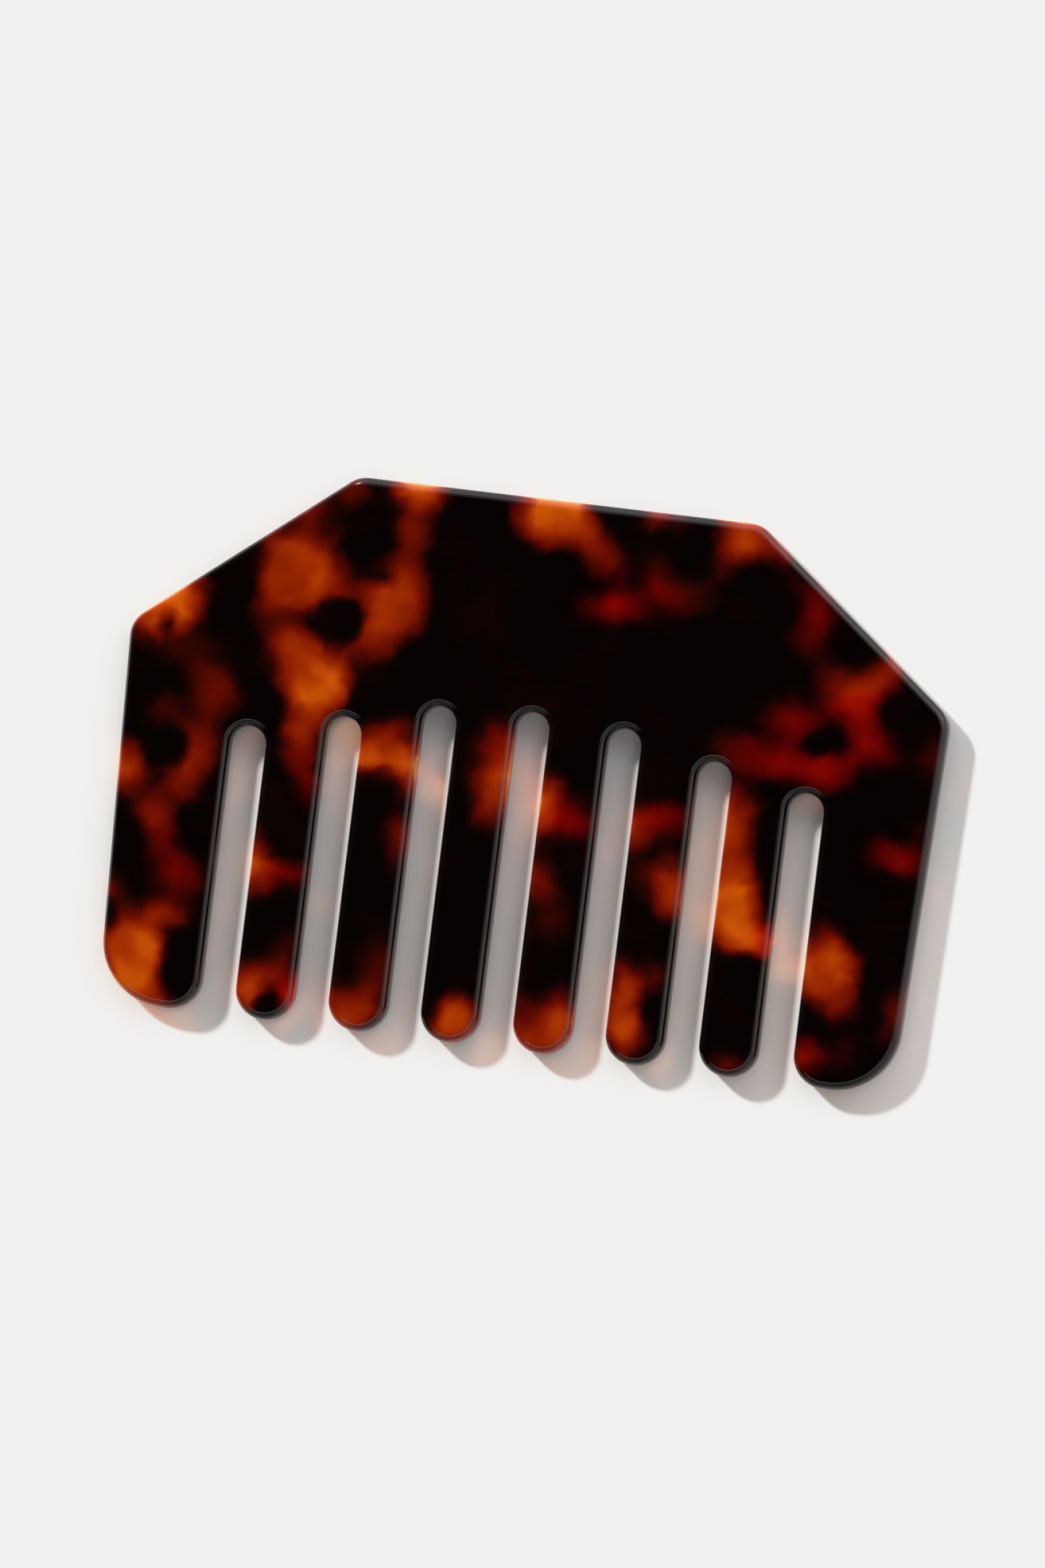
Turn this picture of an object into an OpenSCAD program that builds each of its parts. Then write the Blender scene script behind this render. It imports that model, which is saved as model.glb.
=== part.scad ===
/* [Sheet] */
// Thickness of the acetate sheet
sheet_t = 4; // [3:0.1:5]
// How far the rounded edges stand out beyond the rims of the two faces
edge_crown = 1.2; // [0.6:0.1:1.5]

/* [Back] */
// Width across the sharp points of the shoulders, before their corners are rounded
comb_w = 114.44; // [110:0.01:125]
// Overall height, from the top edge to the tips of the teeth
comb_h = 75.4; // [68:0.1:90]
// Length of the flat top edge, between the sharp points of its corners
top_w = 56.2; // [50:0.1:60]
// Depth of the shoulders below the top edge
shoulder_drop = 23.2; // [20:0.1:25]
// Lean of each side inwards towards the tips, in degrees
side_lean = 2; // [0:0.1:2.5]
// Radius of the four corners of the back's outline
corner_r = 4; // [3:0.1:6]

/* [Teeth] */
// Width of each inner tooth
tooth_w = 8.22; // [7.5:0.01:8.6]
// Width of the slots between the inner teeth
slot_w = 4.7; // [4.4:0.01:4.9]
// Width of the slot beside each end tooth
end_slot_w = 5.05; // [4.4:0.01:5.2]
// Depth of each slot's round end below the top edge, from the middle slot outwards
slot_drop = [29.2, 29.9, 32.9, 35.7]; // [28:0.1:38]
// Outer radius of an end tooth's tip
end_outer_r = 9; // [7:0.1:9]
// Inner radius of an end tooth's tip, beside the slot
end_inner_r = 4.4; // [3:0.1:4.4]

/* [Hidden] */
$fn = 64;
// Dark and warm parts of the mottled sheet
dark = [0.16, 0.03, 0.02];
warm = [0.45, 0.14, 0.03];
// How far a cut runs past a face
past = 2;
// Longer than the comb in any direction
reach = 2 * comb_w;
top_y = comb_h / 2;
tip_y = -comb_h / 2;
// Slots are numbered from -3 to 3 with 0 in the middle, and teeth from 1 to 8, both from the left
last_slot = 3;
last_tooth = 2 * last_slot + 2;
pitch = tooth_w + slot_w;
end_slot_x = (last_slot - 1) * pitch + slot_w / 2 + tooth_w + end_slot_w / 2;

// Radius of the arc that the edges are rounded with, from face to face
edge_r = (pow(edge_crown, 2) + pow(sheet_t / 2, 2)) / (2 * edge_crown);

function slot_width(slot) = abs(slot) == last_slot ? end_slot_w : slot_w;
function slot_x(slot) = abs(slot) == last_slot ? sign(slot) * end_slot_x : slot * pitch;
// Height of the centre of a slot's round end
function slot_y(slot) = top_y - slot_drop[abs(slot)] - slot_width(slot) / 2;
// The slots on the left and right of a tooth; an end tooth has the same one twice
function left_slot(tooth) = max(tooth - last_slot - 2, -last_slot);
function right_slot(tooth) = min(tooth - last_slot - 1, last_slot);
// Height at which a tooth leaves the back, which is where both its sides are straight
function base_y(tooth) = min(slot_y(left_slot(tooth)), slot_y(right_slot(tooth)));

// Unit vector at an angle from +X
function along(angle) = [cos(angle), sin(angle)];
// Centre of an arc of radius r that rounds the sharp point p between two edges facing at angles a and b
function arc_centre(p, a, b, r) = p - r / cos((b - a) / 2) * along((a + b) / 2);
// The right shoulder's sharp point, and the angles that the chamfer and the side face at
shoulder = [comb_w / 2, top_y - shoulder_drop];
chamfer_angle = atan2(comb_w / 2 - top_w / 2, shoulder_drop);
side_angle = -side_lean;
function side_x(y) = shoulder.x - (shoulder.y - y) * tan(side_lean);
top_centre = arc_centre([top_w / 2, top_y], 90, chamfer_angle, corner_r);
shoulder_centre = arc_centre(shoulder, chamfer_angle, side_angle, corner_r);
inner_tip_centre = [end_slot_x + end_slot_w / 2 + end_inner_r, tip_y + end_inner_r];
outer_tip_centre = [side_x(tip_y + end_outer_r) - end_outer_r / cos(side_lean), tip_y + end_outer_r];

// An edge is the angle it faces at, and the centre and radius of the arc that it touches.
// Edges that turn round an arc in equal steps, from just after angle a up to angle b:
function turn(a, b, steps, centre, r) = [for (i = [1:steps]) [a + (b - a) * i / steps, centre, r]];
corner_steps = 4;
tip_steps = 8;
top_edge = [90, top_centre, corner_r];
side_edge = [side_angle, outer_tip_centre, end_outer_r];
// Corner, chamfer, shoulder and side, down the right of the back
shoulder_edges = concat(turn(90, chamfer_angle, corner_steps, top_centre, corner_r),
    turn(chamfer_angle, side_angle, corner_steps, shoulder_centre, corner_r));
// Outer tip, end, inner tip and slot wall, round the right end tooth
tip_edges = concat(turn(side_angle, -90, tip_steps, outer_tip_centre, end_outer_r),
    turn(-90, -180, tip_steps, inner_tip_centre, end_inner_r));

// Half of the sheet's cross-section, from x = 0 out to the crown of its rounded edge at x = w
module half_section(w) {
    square([w - edge_r, sheet_t]);
    intersection() {
        square([w, sheet_t]);
        translate([w - edge_r, sheet_t / 2]) circle(edge_r);
    }
}

// The sheet behind a straight rounded edge
module behind(edge) {
    rotate(edge[0]) translate([edge[1] * along(edge[0]) + edge[2] - reach, reach])
        rotate([90, 0, 0]) linear_extrude(2 * reach) half_section(reach);
}

// Half of what a slot takes away, from its middle at x = 0, flaring out to both faces
module half_cut(w) {
    difference() {
        translate([0, -past]) square([w + edge_crown, sheet_t + 2 * past]);
        translate([w + edge_r, sheet_t / 2]) circle(edge_r);
    }
}

// A slot's whole space, from its round end to past the tips
module slot_cut(slot) {
    w = slot_width(slot) / 2;
    translate([slot_x(slot), slot_y(slot)]) {
        rotate_extrude(angle = 180) half_cut(w);
        rotate([90, 0, 0]) linear_extrude(reach) {
            half_cut(w);
            mirror([1, 0]) half_cut(w);
        }
    }
}

// The space of one tooth, from the middle of the slot on its left to the middle of the one on its right
module tooth_space(tooth) {
    left = tooth == 1 ? -comb_w : slot_x(left_slot(tooth));
    right = tooth == last_tooth ? comb_w : slot_x(right_slot(tooth));
    translate([left, base_y(tooth) - reach, -past])
        cube([right - left, reach, sheet_t + 2 * past]);
}

module back() color(dark) difference() {
    intersection() {
        behind(top_edge);
        intersection_for (edge = shoulder_edges) behind(edge);
        mirror([1, 0]) intersection_for (edge = shoulder_edges) behind(edge);
    }
    for (slot = [-last_slot:last_slot]) slot_cut(slot);
    for (tooth = [1:last_tooth]) tooth_space(tooth);
}

// A straight tooth with a half-round tip, between two slots
module inner_tooth(tooth) color(tooth % 2 == 0 ? dark : warm) {
    w = tooth_w / 2;
    tip_centre = tip_y + w;
    translate([(slot_x(left_slot(tooth)) + slot_x(right_slot(tooth))) / 2, 0]) {
        translate([0, tip_centre]) rotate(180) rotate_extrude(angle = 180) half_section(w);
        translate([0, base_y(tooth)]) rotate([90, 0, 0]) linear_extrude(base_y(tooth) - tip_centre) {
            half_section(w);
            mirror([1, 0]) half_section(w);
        }
    }
}

// The wide tooth at the right end, whose outer side is the comb's side
module end_tooth() color(warm) difference() {
    intersection() {
        behind(side_edge);
        intersection_for (edge = tip_edges) behind(edge);
    }
    translate([0, base_y(last_tooth), -past]) cube([reach, reach, sheet_t + 2 * past]);
}

back();
mirror([1, 0]) end_tooth();  // end_tooth_left
inner_tooth(2);  // tooth_2
inner_tooth(3);  // tooth_3
inner_tooth(4);  // tooth_4
inner_tooth(5);  // tooth_5
inner_tooth(6);  // tooth_6
inner_tooth(7);  // tooth_7
end_tooth();  // end_tooth_right
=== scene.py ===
import math

import bmesh
import bpy
from mathutils import Matrix, Vector


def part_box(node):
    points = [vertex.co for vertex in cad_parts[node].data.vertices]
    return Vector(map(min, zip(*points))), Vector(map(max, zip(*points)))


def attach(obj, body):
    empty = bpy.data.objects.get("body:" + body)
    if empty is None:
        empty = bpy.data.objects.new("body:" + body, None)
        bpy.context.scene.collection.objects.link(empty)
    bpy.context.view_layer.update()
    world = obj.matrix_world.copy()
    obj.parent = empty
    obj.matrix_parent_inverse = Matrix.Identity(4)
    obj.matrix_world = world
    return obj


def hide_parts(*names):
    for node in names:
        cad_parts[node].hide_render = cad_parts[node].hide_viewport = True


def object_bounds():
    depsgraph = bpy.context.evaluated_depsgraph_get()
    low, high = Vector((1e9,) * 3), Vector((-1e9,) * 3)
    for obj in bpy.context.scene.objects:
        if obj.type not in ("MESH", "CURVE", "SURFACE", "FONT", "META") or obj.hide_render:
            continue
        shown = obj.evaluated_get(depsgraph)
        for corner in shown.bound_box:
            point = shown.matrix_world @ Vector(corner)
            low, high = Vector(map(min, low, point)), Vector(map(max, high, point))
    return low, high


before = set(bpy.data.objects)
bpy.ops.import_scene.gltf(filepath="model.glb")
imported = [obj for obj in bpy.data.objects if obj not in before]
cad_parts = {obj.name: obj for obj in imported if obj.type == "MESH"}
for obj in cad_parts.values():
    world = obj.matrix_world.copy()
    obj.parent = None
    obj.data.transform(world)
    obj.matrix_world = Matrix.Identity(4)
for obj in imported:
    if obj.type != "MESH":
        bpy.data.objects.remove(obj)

CAD_BOX = [list(corner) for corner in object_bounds()]
MM = 0.001

# ---------------------------------------------------------------- sizes, in millimetres
LOW, HIGH = (Vector(corner) / MM for corner in CAD_BOX)
SHEET_T = HIGH.z - LOW.z
TOP_Y, TIP_Y = HIGH.y, LOW.y
TEETH = ["end_tooth_left"] + [f"tooth_{n}" for n in range(2, 8)] + ["end_tooth_right"]

# Outline, as in the CAD. A shoulder's sharp point is just outside its rounded corner
TOP_W = 56.2
SHOULDER_DROP = 23.2
SHOULDER_X = HIGH.x + 0.07
SIDE_LEAN = math.radians(2)
CORNER_R = 4.0
# Depth of each slot's end below the top edge, from the middle slot outwards
SLOT_DROP = [29.2, 29.9, 32.9, 35.7]
MIDDLE_SLOT = 3
END_OUTER_R, END_INNER_R = 9.0, 4.4

# Rounded edges: how far in they start on the faces, and how far down they reach
ROLL_W = 1.2
ROLL_H = 1.25
# Height of the floor's plane above the comb's underside, so that the two faces don't coincide
FLOOR_LIFT = 0.02
FLOOR_HALF = 4000


# ---------------------------------------------------------------- outline
def along(angle):
    return Vector((math.cos(angle), math.sin(angle)))


def arc_centre(point, a, b, r):
    """Centre of an arc of radius r that rounds a sharp point between edges facing at angles a and b."""
    return point - along((a + b) / 2) * (r / math.cos((b - a) / 2))


def right_arcs():
    """The outline's arcs up the right side: tip, shoulder and top corner, as (centre, radius, from, to)."""
    shoulder = Vector((SHOULDER_X, TOP_Y - SHOULDER_DROP))
    chamfer = math.atan2(SHOULDER_X - TOP_W / 2, SHOULDER_DROP)
    side, up, down = -SIDE_LEAN, math.pi / 2, -math.pi / 2
    tip_y = TIP_Y + END_OUTER_R
    side_x = shoulder.x - (shoulder.y - tip_y) * math.tan(SIDE_LEAN)
    tip = Vector((side_x - END_OUTER_R / math.cos(SIDE_LEAN), tip_y))
    corner = Vector((TOP_W / 2, TOP_Y))
    return [
        (tip, END_OUTER_R, down, side),
        (arc_centre(shoulder, chamfer, side, CORNER_R), CORNER_R, side, chamfer),
        (arc_centre(corner, up, chamfer, CORNER_R), CORNER_R, chamfer, up),
    ]


def mirrored(arcs):
    """The same arcs on the other side, in the order that goes on round the outline."""
    return [(Vector((-c.x, c.y)), r, math.pi - b, math.pi - a) for c, r, a, b in reversed(arcs)]


def tooth_and_slot_arcs():
    """Tips and slot ends from left to right. A slot's end has a negative radius, and turns the other way."""
    half_turn, quarter = math.pi, math.pi / 2
    spans = [(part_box(name)[0].x / MM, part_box(name)[1].x / MM) for name in TEETH]
    inner_y = TIP_Y + END_INNER_R
    first = Vector((spans[0][1] - END_INNER_R, inner_y))
    last = Vector((spans[-1][0] + END_INNER_R, inner_y))
    arcs = [(first, END_INNER_R, 3 * quarter, 4 * quarter)]
    for i in range(len(TEETH) - 1):
        left, right = spans[i][1], spans[i + 1][0]
        r = (right - left) / 2
        y = TOP_Y - SLOT_DROP[abs(i - MIDDLE_SLOT)] - r
        arcs.append((Vector((left + r, y)), -r, half_turn, 0))
        if i < len(TEETH) - 2:
            a, b = spans[i + 1]
            tip_r = (b - a) / 2
            arcs.append((Vector(((a + b) / 2, TIP_Y + tip_r)), tip_r, half_turn, 2 * half_turn))
    arcs.append((last, END_INNER_R, half_turn, 3 * quarter))
    return arcs


def outline(step=0.5, run=2.0):
    """Points round the outline, each with the way the edge faces there.

    They are about a step apart on the arcs, and a run apart on the straights.
    """
    points = []
    for centre, r, a, b in right_arcs() + mirrored(right_arcs()) + tooth_and_slot_arcs():
        count = max(6, round(abs(b - a) * abs(r) / step))
        outward = 1 if r > 0 else -1
        angles = [a + (b - a) * i / count for i in range(count + 1)]
        arc = [(centre + along(angle) * abs(r), along(angle) * outward) for angle in angles]
        if points:
            points += straight(points[-1], arc[0], run)
        points += arc
    return points + straight(points[-1], points[0], run)


def straight(start, end, run):
    """Points between the end of one arc and the start of the next, not counting either."""
    count = round((end[0] - start[0]).length / run)
    return [(start[0].lerp(end[0], i / count), start[1]) for i in range(1, count)]


# ---------------------------------------------------------------- the comb's mesh
def edge_profile(steps=9, flat=0.5):
    """(distance in from the outline, height) up one edge: underside, roll, wall, roll, top face."""
    angles = [math.pi / 2 * i / steps for i in range(steps + 1)]
    roll = [(ROLL_W * (1 - math.sin(angle)), ROLL_H * (1 - math.cos(angle))) for angle in angles]
    low = [(ROLL_W + flat, 0.0)] + roll
    return low + [(d, SHEET_T - z) for d, z in reversed(low)]


def comb_mesh():
    points = outline()
    profile = edge_profile()
    bm = bmesh.new()
    rings = []
    for inset, z in profile:
        ring = [p - facing * inset for p, facing in points]
        rings.append([bm.verts.new((p.x * MM, p.y * MM, (LOW.z + z) * MM)) for p in ring])
    count = len(points)
    for lower, upper in zip(rings, rings[1:]):
        for i in range(count):
            j = (i + 1) % count
            bm.faces.new((lower[i], lower[j], upper[j], upper[i]))
    caps = [bm.faces.new(rings[-1]), bm.faces.new(list(reversed(rings[0])))]
    bm.normal_update()
    bmesh.ops.triangulate(bm, faces=caps, quad_method="BEAUTY", ngon_method="BEAUTY")
    bmesh.ops.recalc_face_normals(bm, faces=bm.faces)
    for face in bm.faces:
        face.smooth = True
    mesh = bpy.data.meshes.new("comb")
    bm.to_mesh(mesh)
    bm.free()
    return mesh


# ---------------------------------------------------------------- node helpers
class Tree:
    """Shorthands for building a node tree."""

    def __init__(self, tree):
        self.tree = tree
        tree.nodes.clear()

    def node(self, kind, inputs=None, **settings):
        node = self.tree.nodes.new(kind)
        for name, value in settings.items():
            setattr(node, name, value)
        for name, value in (inputs or {}).items():
            socket = node.inputs[name]
            if isinstance(value, bpy.types.NodeSocket):
                self.tree.links.new(value, socket)
            else:
                socket.default_value = value
        return node

    def math(self, operation, a, b=0.0):
        return self.node("ShaderNodeMath", {0: a, 1: b}, operation=operation).outputs[0]

    def vector_math(self, operation, a, b):
        return self.node("ShaderNodeVectorMath", {0: a, 1: b}, operation=operation).outputs[0]

    def dot(self, a, b):
        return self.node("ShaderNodeVectorMath", {0: a, 1: b}, operation="DOT_PRODUCT").outputs["Value"]

    def combine(self, x, y, z=0.0):
        return self.node("ShaderNodeCombineXYZ", {0: x, 1: y, 2: z}).outputs[0]

    def separate(self, vector, axis):
        return self.node("ShaderNodeSeparateXYZ", {0: vector}).outputs[axis]

    def noise(self, coords, scale, detail, output="Fac"):
        node = self.node("ShaderNodeTexNoise", {"Vector": coords, "Scale": scale, "Detail": detail})
        return node.outputs[output]

    def map_range(self, value, low, high, to_low=0.0, to_high=1.0):
        """A smooth step from to_low, where the value is low, to to_high, where it is high."""
        inputs = {0: value, 1: low, 2: high, 3: to_low, 4: to_high}
        return self.node("ShaderNodeMapRange", inputs, interpolation_type="SMOOTHSTEP").outputs[0]

    def ramp(self, value, stops):
        node = self.node("ShaderNodeValToRGB", {"Fac": value})
        elements = node.color_ramp.elements
        while len(elements) > 1:
            elements.remove(elements[-1])
        elements[0].position = stops[0][0]
        for place, _ in stops[1:]:
            elements.new(place)
        for element, (_, colour) in zip(elements, stops):
            element.color = (*colour, 1.0)
        return node.outputs["Color"]


# ---------------------------------------------------------------- tortoiseshell acetate
# Warm clouds in the sheet, each an ellipse: centre x and y, half-length, half-width, how many degrees its
# length leans from +X, and how clear it is
CLOUDS = [
    # upper left of the back
    (-34.8, 23.6, 5.6, 4.6, 80, 0.75), (-28.5, 22, 3.5, 1.8, 5, 0.50), (-21, 21, 6.2, 3.9, 76, 0.76),
    (-23.5, 15.5, 3, 1.8, 30, 0.50), (-19.6, 31, 5, 1.7, 85, 0.60), (-19.3, 37.2, 3, 3, 0, 0.95),
    (-28.5, 35.5, 2.8, 1.6, 20, 0.42), (-33.6, 32.2, 1.6, 1.1, 60, 0.56), (-30, 30, 3, 1.6, 20, 0.20),
    (-35, 13.3, 3, 2.3, 20, 0.60), (-31, 10, 4.5, 4, 120, 0.86), (-31.2, 5, 4, 2.1, 95, 0.64),
    (-29.0, 9.4, 3.0, 2.0, 40, 0.76), (-27.6, 12.6, 2, 1.3, 30, 0.50),
    (-31.8, 0.5, 3.6, 1.6, 85, 0.54), (-30, -4, 3.6, 1.1, 115, 0.50), (-38, 18.5, 2.5, 2, 110, 0.40),
    # left shoulder and left end tooth
    (-52.5, 17.2, 5.6, 3.0, 37, 1.0), (-54.5, 14.6, 1.8, 1.3, 60, 0.60), (-49, 12, 7, 3, 170, 0.26),
    (-44.5, 6.3, 4, 2.4, 150, 0.50), (-46, -3, 7, 2.5, 84, 0.56), (-50.5, 3, 2.4, 1.8, 0, 0.32),
    (-55.2, -5.5, 2.8, 2.2, 90, 0.82), (-51, -11, 2.8, 1.7, 150, 0.42), (-49, -8, 2.4, 2, 0, 0.26),
    (-48.8, -14.5, 4, 1.5, 115, 0.44), (-47.3, -19, 2.8, 1.6, 165, 0.46), (-44, -19.5, 2.4, 1.4, 0, 0.26),
    (-55.3, -22.5, 2, 1.2, 150, 0.62), (-51.3, -31.5, 7, 4.2, 95, 0.92), (-47.5, -24.8, 3.4, 1.6, 15, 0.70),
    (-47.5, -37.4, 3.4, 1, 5, 0.78),
    # second tooth
    (-35.6, -16.5, 4, 1.8, 92, 0.88), (-31, -17.6, 3.4, 1.6, 0, 0.50), (-35.2, -33.5, 3.6, 2.1, 100, 0.88),
    (-31.5, -31, 2.6, 1.2, 0, 0.60), (-28.7, -34, 3.2, 1.1, 82, 0.85), (-30, -27, 3, 1.4, 45, 0.32),
    # third tooth
    (-20, 2.6, 4.6, 2, 10, 0.58), (-20.5, -0.8, 5, 1.7, 175, 0.86), (-16, -1.8, 2.8, 2, 110, 0.86),
    (-16.2, -11.5, 4.6, 1.5, 95, 0.60), (-16.5, -29.5, 4, 2.2, 80, 0.36), (-20, -34.7, 3.8, 2.6, 0, 0.62),
    (-21.8, -35.8, 2, 1.6, 0, 0.60),
    # fourth tooth
    (-3.4, -1, 6.8, 2.3, 88, 0.86), (-4.8, 0.5, 7, 3.4, 85, 0.34), (-5.2, -34.8, 3.2, 2.7, 20, 0.80),
    # fifth tooth
    (3.5, -4.3, 4.6, 1.5, 92, 0.90), (7.6, -5.8, 3.2, 1.5, 0, 0.50), (3.8, -14.3, 2.6, 1.8, 70, 0.46),
    (6.5, -18.5, 3, 1.4, 60, 0.26), (8.8, -33.5, 4.4, 1.7, 100, 0.86), (5.2, -36, 2.8, 1.5, 170, 0.78),
    (3.8, -32.3, 2.2, 1.8, 0, 0.26),
    # sixth tooth
    (16.4, -6, 3.2, 1.3, 92, 0.68), (20.3, -4.1, 3.6, 1.7, 12, 0.50), (22.6, -13.2, 4.6, 2.1, 100, 0.78),
    (19, -12.5, 2.4, 1.4, 0, 0.32), (17.2, -28, 4.4, 1.6, 95, 0.92), (18.1, -33, 3.4, 2, 100, 0.86),
    (21, -25.5, 2.6, 1.8, 40, 0.30),
    # seventh tooth
    (29.8, -4, 7, 2.1, 88, 0.86), (30.6, -14.3, 6.6, 3.1, 98, 0.96), (33, -18.6, 3.2, 2.2, 175, 0.92),
    (36, -18.5, 2.8, 1.2, 95, 0.76), (32.6, -36.6, 3, 1.2, 5, 0.46),
    # right end tooth
    (44.8, -21.5, 4.6, 3.9, 120, 0.84), (47.8, -26.6, 2, 1.5, 60, 0.50), (52, -5.3, 4.8, 1.4, 176, 0.55),
    (43.2, -33.6, 2.2, 1.7, 60, 0.55), (55.3, -26.5, 5, 1.2, 88, 0.50), (48.5, -33, 2, 1.5, 0, 0.20),
    # top edge and the middle of the back
    (-0.3, 35.5, 5.2, 3.8, 170, 0.98), (5.2, 32.6, 3.6, 2, 140, 0.52), (8.6, 30.2, 2.8, 1.6, 150, 0.42),
    (14.7, 37.4, 2.6, 1, 0, 0.66), (15.5, 29.5, 2.8, 1.3, 85, 0.34), (9.3, 24, 5.4, 1.9, 2, 0.52),
    (18.2, 26.6, 4.6, 1.5, 8, 0.50), (26.2, 36.3, 3.8, 2.6, 160, 0.84), (31.2, 33.9, 3, 1.3, 142, 0.66),
    (23.6, 32, 2.8, 1.5, 80, 0.34),
    # right shoulder and the chain of clouds below it
    (37.5, 27.8, 4.5, 1.8, 140, 0.42), (36.6, 23.5, 3, 1.8, 100, 0.42), (48.3, 19.6, 3.4, 2, 50, 0.58),
    (43.9, 15.6, 4, 2.7, 75, 0.74), (40.4, 17.6, 3, 1.6, 80, 0.46), (35.6, 12.3, 4.8, 1.8, 14, 0.50),
    (35.4, 8.8, 2.8, 1.6, 0, 0.34), (45.6, 9.6, 3.6, 2, 105, 0.58), (49.2, 8.6, 2, 1.5, 0, 0.34),
    (34.5, 5.4, 6.5, 1.7, 174, 0.60), (41.3, 5, 3.8, 1.9, 10, 0.64), (28.8, 7, 3.6, 1.4, 0, 0.36),
    (55.6, 9, 3.4, 1.1, 90, 0.34), (55.6, -1.5, 3.4, 1.1, 90, 0.26),
]
# Dark islands inside the clouds, the same way
ISLANDS = [
    (-28.4, 17.5, 3.2, 2.8, 0, 0.88), (-23.4, 24.6, 2.2, 0.4, 178, 0.85), (-52.3, 14.5, 1.7, 0.5, 88, 0.85),
    (-31.6, -35.4, 1.6, 1.4, 0, 0.96), (39.6, 9, 2.2, 1.1, 175, 0.80), (-54.9, -26, 2.0, 0.9, 88, 0.9),
    (-49.5, -2.5, 1.7, 1.7, 0, 0.85), (41.6, 22.6, 2.2, 1.8, 140, 0.7), (-20.5, -4.6, 4, 1.8, 0, 0.9),
    (-26, 30.5, 4, 2.6, 70, 0.7), (32, -24, 4.5, 2.6, 0, 0.97), (-44.6, -31.2, 4.6, 2.2, 92, 0.96),
]
# Where the clouds are a deeper red, the same way
DEEPER = [
    (11, 25, 10, 4, 5, 0.85), (41, 9, 14, 7, 20, 0.80), (51, -5, 6, 4, 0, 0.70),
    (20.5, -4, 3.5, 2.5, 0, 0.80), (7.8, -6, 3, 2.5, 0, 0.85), (-28.5, -34, 1.5, 4, 0, 0.80),
    (-30.5, -17.5, 3.5, 2, 0, 0.70), (36.2, -18.5, 1, 3, 0, 0.80), (-47, -17, 4, 5, 0, 0.55),
    (38, 26, 6, 4, 140, 0.70), (-4, 3, 2, 3, 0, 0.3), (-29.5, -4, 2.5, 4, 0, 0.60),
    (45, -33, 4, 4, 0, 0.60),
]
# How soft their outlines are, what every one grows by, and a depth that takes them through the sheet
CLOUD_SOFT, ISLAND_SOFT, DEEPER_SOFT = 2.2, 1.3, 2.0
GROW = 0.5
PATCH_DEPTH = 30
# How far the pattern shifts in x and y for each millimetre down through the sheet
SHIFT_X, SHIFT_Y = 0.45, -0.30
# Noises that make the outlines wander: size, and how far each pushes
WANDER = [(9.0, 4.0), (3.6, 2.0), (1.5, 0.5)]
# What the clearness is multiplied by on the flat faces and on upright edges. The larger value on the edges
# is a painted glow: the edges are coloured clearer and warmer, as if lit through the thin sheet
FACE_CLEAR, EDGE_PAINTED_GLOW = 0.85, 1.22
# The sheet's colour from its darkest to its clearest. Only the edges reach the last stop, which is the
# painted glow's colour
SHELL_STOPS = [
    (0.000, (0.0014, 0.0005, 0.0003)), (0.085, (0.0034, 0.0007, 0.0003)), (0.170, (0.0120, 0.0011, 0.0004)),
    (0.255, (0.032, 0.0016, 0.0004)), (0.340, (0.068, 0.0024, 0.0003)), (0.425, (0.112, 0.0036, 0.0003)),
    (0.510, (0.165, 0.0064, 0.0003)), (0.595, (0.225, 0.0125, 0.0003)), (0.680, (0.290, 0.0220, 0.0005)),
    (0.765, (0.380, 0.0390, 0.0009)), (0.850, (0.500, 0.0800, 0.0020)), (1.000, (0.660, 0.2200, 0.0300)),
]
# What light keeps as it crosses one face of the sheet
GLOW_STOPS = [
    (0.00, (0.0, 0.0, 0.0)), (0.35, (0.26, 0.09, 0.06)), (0.60, (0.48, 0.22, 0.12)),
    (0.80, (0.72, 0.40, 0.20)), (1.00, (0.90, 0.58, 0.28)),
]


def darkness(t, coords, patches, soft):
    """1 outside the patches, less inside them by how clear each is, and less still where they overlap."""
    field = None
    for x, y, length, width, lean, clear in patches:
        local = t.node("ShaderNodeMapping", {
            "Vector": coords,
            "Location": (x, y, 0),
            "Rotation": (0, 0, math.radians(lean)),
            "Scale": (length + GROW + soft, width + GROW + soft, PATCH_DEPTH),
        }, vector_type="TEXTURE")
        ball = t.node("ShaderNodeTexGradient", {"Vector": local.outputs[0]}, gradient_type="SPHERICAL")
        left = t.map_range(ball.outputs["Fac"], 0.0, 2 * soft / (width + GROW + soft), 1.0, 1 - clear)
        field = left if field is None else t.math("MULTIPLY", field, left)
    return field


def wandering(t):
    """The place on the comb in millimetres, pushed about so that outlines drawn with it wander and lean."""
    place = t.node("ShaderNodeTexCoord").outputs["Object"]
    mm = t.vector_math("MULTIPLY", place, (1 / MM, 1 / MM, 1 / MM))
    depth = t.math("SUBTRACT", HIGH.z, t.separate(mm, "Z"))
    shift = t.combine(t.math("MULTIPLY", depth, SHIFT_X), t.math("MULTIPLY", depth, SHIFT_Y))
    mm = t.vector_math("ADD", mm, shift)
    for size, reach in WANDER:
        push = t.vector_math("SUBTRACT", t.noise(mm, 1 / size, 2.0, output="Color"), (0.5, 0.5, 0.5))
        mm = t.vector_math("ADD", mm, t.vector_math("MULTIPLY", push, (reach, reach, 0)))
    return mm


def clearness(t, mm):
    """The clouds and their islands, mottled inside, with a faint haze between them."""
    clouds = t.math("SUBTRACT", 1.0, darkness(t, mm, CLOUDS, CLOUD_SOFT))
    clear = t.math("MULTIPLY", clouds, darkness(t, mm, ISLANDS, ISLAND_SOFT))
    clear = t.math("MULTIPLY", clear, t.map_range(t.noise(mm, 1 / 6.0, 1.0), 0.3, 0.7, 0.88, 1.06))
    haze = t.map_range(t.noise(mm, 1 / 8.0, 2.0), 0.45, 0.75, 0.0, 0.12)
    return t.math("MINIMUM", t.math("ADD", clear, haze), 1.0)


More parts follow.
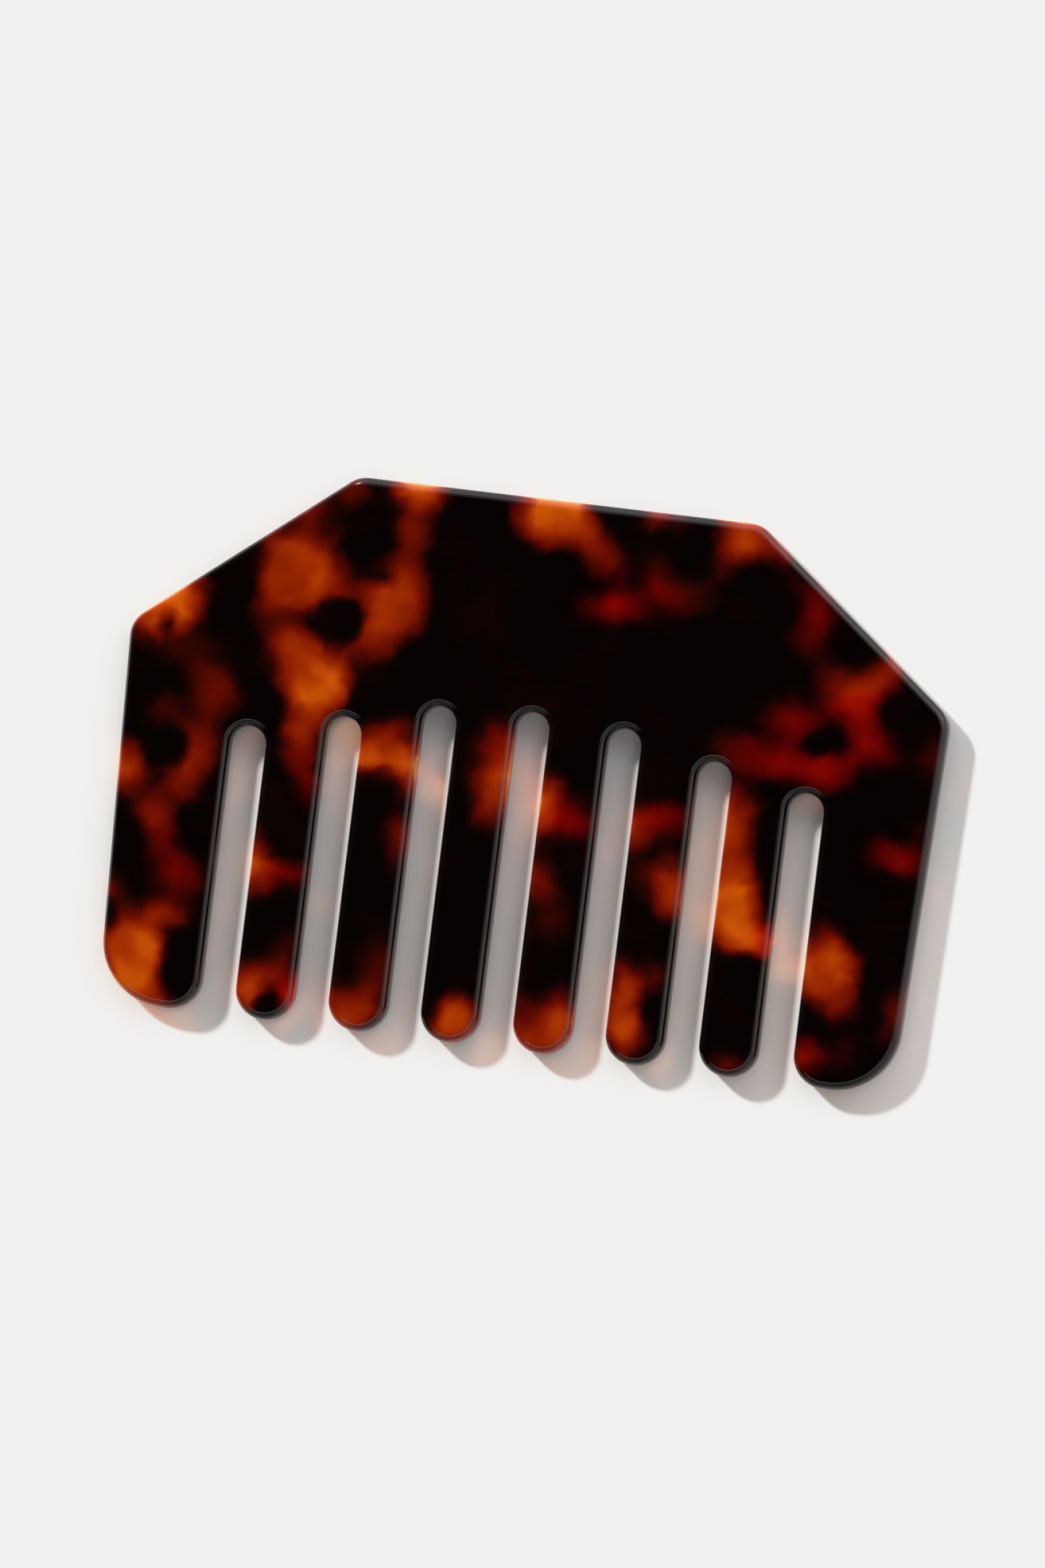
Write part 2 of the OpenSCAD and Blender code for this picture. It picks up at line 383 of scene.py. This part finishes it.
def edge_rim(t, start, end):
    """From 0 to 1 as the surface turns upright: the height of its normal goes from start down to end."""
    normal = t.node("ShaderNodeTexCoord").outputs["Normal"]
    return t.map_range(t.math("ABSOLUTE", t.separate(normal, "Z")), start, end)


def glow_colour(t, clear, mm):
    """Light let through: warm in the clouds, grey at the edges, and a little towards the tips and right."""
    leak = t.map_range(t.separate(mm, "Y"), 8.0, -10.0, 0.0, 0.30)
    leak = t.math("MULTIPLY", leak, t.map_range(t.separate(mm, "X"), -50.0, 50.0, 0.25, 1.0))
    leak = t.math("MAXIMUM", leak, t.map_range(edge_rim(t, 0.97, 0.3), 0.0, 1.0, 0.0, 0.46))
    tint = t.combine(leak, t.math("MULTIPLY", leak, 0.76), t.math("MULTIPLY", leak, 0.62))
    return t.vector_math("MAXIMUM", tint, t.ramp(clear, GLOW_STOPS))


def shell_colour(t, mm, clear):
    """The ramp's colour, with less green where the clouds are a deeper red."""
    keep = darkness(t, mm, DEEPER, DEEPER_SOFT)
    return t.vector_math("MULTIPLY", t.ramp(clear, SHELL_STOPS), t.combine(1.0, keep, 1.0))


def acetate():
    """Polished and opaque to the eye, but it lets some of the light that would cast its shadow through. Its
    upright edges carry a painted glow, coloured clearer as if lit through the thin edge.
    """
    material = bpy.data.materials.new("tortoiseshell_acetate")
    material.use_nodes = True
    t = Tree(material.node_tree)
    mm = wandering(t)
    clear = clearness(t, mm)
    # Painted glow: upright edges are coloured clearer amber, standing in for light shining through the thin
    # edge
    painted_edge_glow = t.map_range(edge_rim(t, 0.95, 0.2), 0.0, 1.0, FACE_CLEAR, EDGE_PAINTED_GLOW)
    wear = t.noise(mm, 1 / 4.0, 3.0)
    polish = t.node("ShaderNodeBump", {"Strength": 0.3, "Distance": 0.02 * MM, "Height": wear})
    shell = t.node("ShaderNodeBsdfPrincipled", {
        "Base Color": shell_colour(t, mm, t.math("MULTIPLY", clear, painted_edge_glow)),
        "Roughness": t.map_range(wear, 0.3, 0.7, 0.05, 0.09),
        "IOR": 1.49,
        "Normal": polish.outputs["Normal"],
    })
    glow = t.node("ShaderNodeBsdfTransparent", {"Color": glow_colour(t, clear, mm)})
    shadow = t.node("ShaderNodeLightPath").outputs["Is Shadow Ray"]
    mix = t.node("ShaderNodeMixShader", {"Fac": shadow, 1: shell.outputs[0], 2: glow.outputs[0]})
    t.node("ShaderNodeOutputMaterial", {"Surface": mix.outputs[0]})
    return material


# ---------------------------------------------------------------- studio
def floor_material():
    material = bpy.data.materials.new("studio_floor")
    material.use_nodes = True
    t = Tree(material.node_tree)
    place = t.node("ShaderNodeTexCoord").outputs["Object"]
    grain = t.noise(place, 12.0, 4.0)
    fibres = t.noise(place, 900.0, 2.0)
    light, dark = (0.91, 0.905, 0.89, 1), (0.89, 0.885, 0.87, 1)
    tone = t.node("ShaderNodeMix", {0: grain, 6: light, 7: dark}, data_type="RGBA")
    card = t.node("ShaderNodeBump", {"Strength": 0.1, "Distance": 0.05 * MM, "Height": fibres})
    surface = t.node("ShaderNodeBsdfPrincipled", {
        "Base Color": tone.outputs[2],
        "Roughness": t.map_range(grain, 0.3, 0.7, 0.80, 0.90),
        "Specular IOR Level": 0.1,
        "Normal": card.outputs["Normal"],
    })
    t.node("ShaderNodeOutputMaterial", {"Surface": surface.outputs[0]})
    return material


def add_floor():
    mesh = bpy.data.meshes.new("studio_floor")
    half = FLOOR_HALF * MM
    z = (LOW.z + FLOOR_LIFT) * MM
    corners = [(-half, -half, z), (half, -half, z), (half, half, z), (-half, half, z)]
    mesh.from_pydata(corners, [], [(0, 1, 2, 3)])
    mesh.materials.append(floor_material())
    floor = bpy.data.objects.new("studio_floor", mesh)
    bpy.context.scene.collection.objects.link(floor)


def add_sun(name, travel, energy, angle):
    sun = bpy.data.lights.new(name, "SUN")
    sun.energy = energy
    sun.angle = math.radians(angle)
    sun.color = (1.0, 0.985, 0.96)
    lamp = bpy.data.objects.new(name, sun)
    lamp.rotation_euler = Vector(travel).to_track_quat("-Z", "Y").to_euler()
    bpy.context.scene.collection.objects.link(lamp)
    return lamp


def add_lights():
    """A key light that shows in no reflection, and a weak one that is only a glint on the top left corner.

    The key is at the upper left, so shadows fall to the right and towards the tips.
    """
    key = add_sun("key", (4.7, -3.75, -4.0), 3.3, 5.5)
    key.visible_glossy = False
    glint = add_sun("glint", (0.446, -0.684, -0.576), 0.5, 9.0)
    glint.visible_diffuse = False


def set_world():
    """A plain room, dark overhead and on the left, brightest low down and on the right.

    A bright strip on the tips' side shows in the edges. All of it is worked out from the direction alone.
    """
    world = bpy.data.worlds.new("studio")
    world.use_nodes = True
    t = Tree(world.node_tree)
    direction = t.node("ShaderNodeTexCoord").outputs["Generated"]
    height = t.separate(direction, "Z")
    flat_squared = t.math("SUBTRACT", 1.0, t.math("MULTIPLY", height, height))
    level = t.math("SQRT", t.math("MAXIMUM", flat_squared, 0.0001))
    leftward = t.math("DIVIDE", t.dot(direction, (-1.0, 0.05, 0)), level)
    tipward = t.math("DIVIDE", t.dot(direction, (0.2, -0.98, 0)), level)
    overhead = t.map_range(height, 0.978, 0.93)
    room = t.math("MULTIPLY", overhead, t.map_range(leftward, 0.78, 0.58, 0.04, 1.0))
    room = t.math("MULTIPLY", room, t.map_range(height, 0.88, 0.55, 0.20, 1.15))
    room = t.math("MULTIPLY", room, t.map_range(tipward, -0.7, 0.5, 1.30, 0.34))
    room = t.math("MULTIPLY", room, t.map_range(leftward, -0.2, -0.9, 1.0, 1.9))
    strip = t.math("MULTIPLY", t.map_range(height, 0.89, 0.865), t.map_range(height, 0.81, 0.83))
    strip = t.math("MULTIPLY", strip, t.map_range(tipward, 0.25, 0.60, 0.0, 2.0))
    strength = t.math("ADD", t.math("ADD", room, strip), 0.006)
    back = t.node("ShaderNodeBackground", {"Color": (1, 1, 1, 1), "Strength": strength})
    t.node("ShaderNodeOutputWorld", {"Surface": back.outputs[0]})
    bpy.context.scene.world = world


def soften_highlights():
    """Plain colours, with a shoulder so that lit and slightly shaded floor are both near white."""
    view = bpy.context.scene.view_settings
    view.view_transform = "Standard"
    view.use_curve_mapping = True
    curve = view.curve_mapping.curves[3]
    curve.points[0].location = (0.0, 0.0)
    curve.points[1].location = (1.0, 0.875)
    for place in ((0.45, 0.45), (0.70, 0.72), (0.85, 0.84)):
        curve.points.new(*place)
    view.curve_mapping.update()


def add_camera():
    """Almost straight down, from a little to the right, with the comb turned clockwise."""
    distance, turn = 3.0, math.radians(7.12)
    lean_right, lean_down = math.radians(10.0), math.radians(0.5)
    view_height = 214.2 * MM
    right = Vector((math.cos(turn), math.sin(turn), 0))
    up = Vector((-math.sin(turn), math.cos(turn), 0))
    aim = Vector((0, 0, HIGH.z * MM)) - right * 0.36 * MM - up * 1.36 * MM
    away = Vector((math.tan(lean_right), -math.tan(lean_down), 1)).normalized()
    camera = bpy.data.cameras.new("camera")
    camera.sensor_width = 36
    camera.lens = camera.sensor_width * distance / view_height
    camera.clip_end = 20
    body = bpy.data.objects.new("camera", camera)
    side = up.cross(away).normalized()
    axes = Matrix((side, away.cross(side), away)).transposed()
    body.matrix_world = Matrix.Translation(aim + away * distance) @ axes.to_4x4()
    bpy.context.scene.collection.objects.link(body)
    bpy.context.scene.camera = body


# ---------------------------------------------------------------- scene
add_camera()
soften_highlights()
set_world()
add_lights()
add_floor()

comb = bpy.data.objects.new("comb", comb_mesh())
bpy.context.scene.collection.objects.link(comb)
comb.data.materials.append(acetate())
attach(comb, "root")
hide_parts("back", *TEETH)
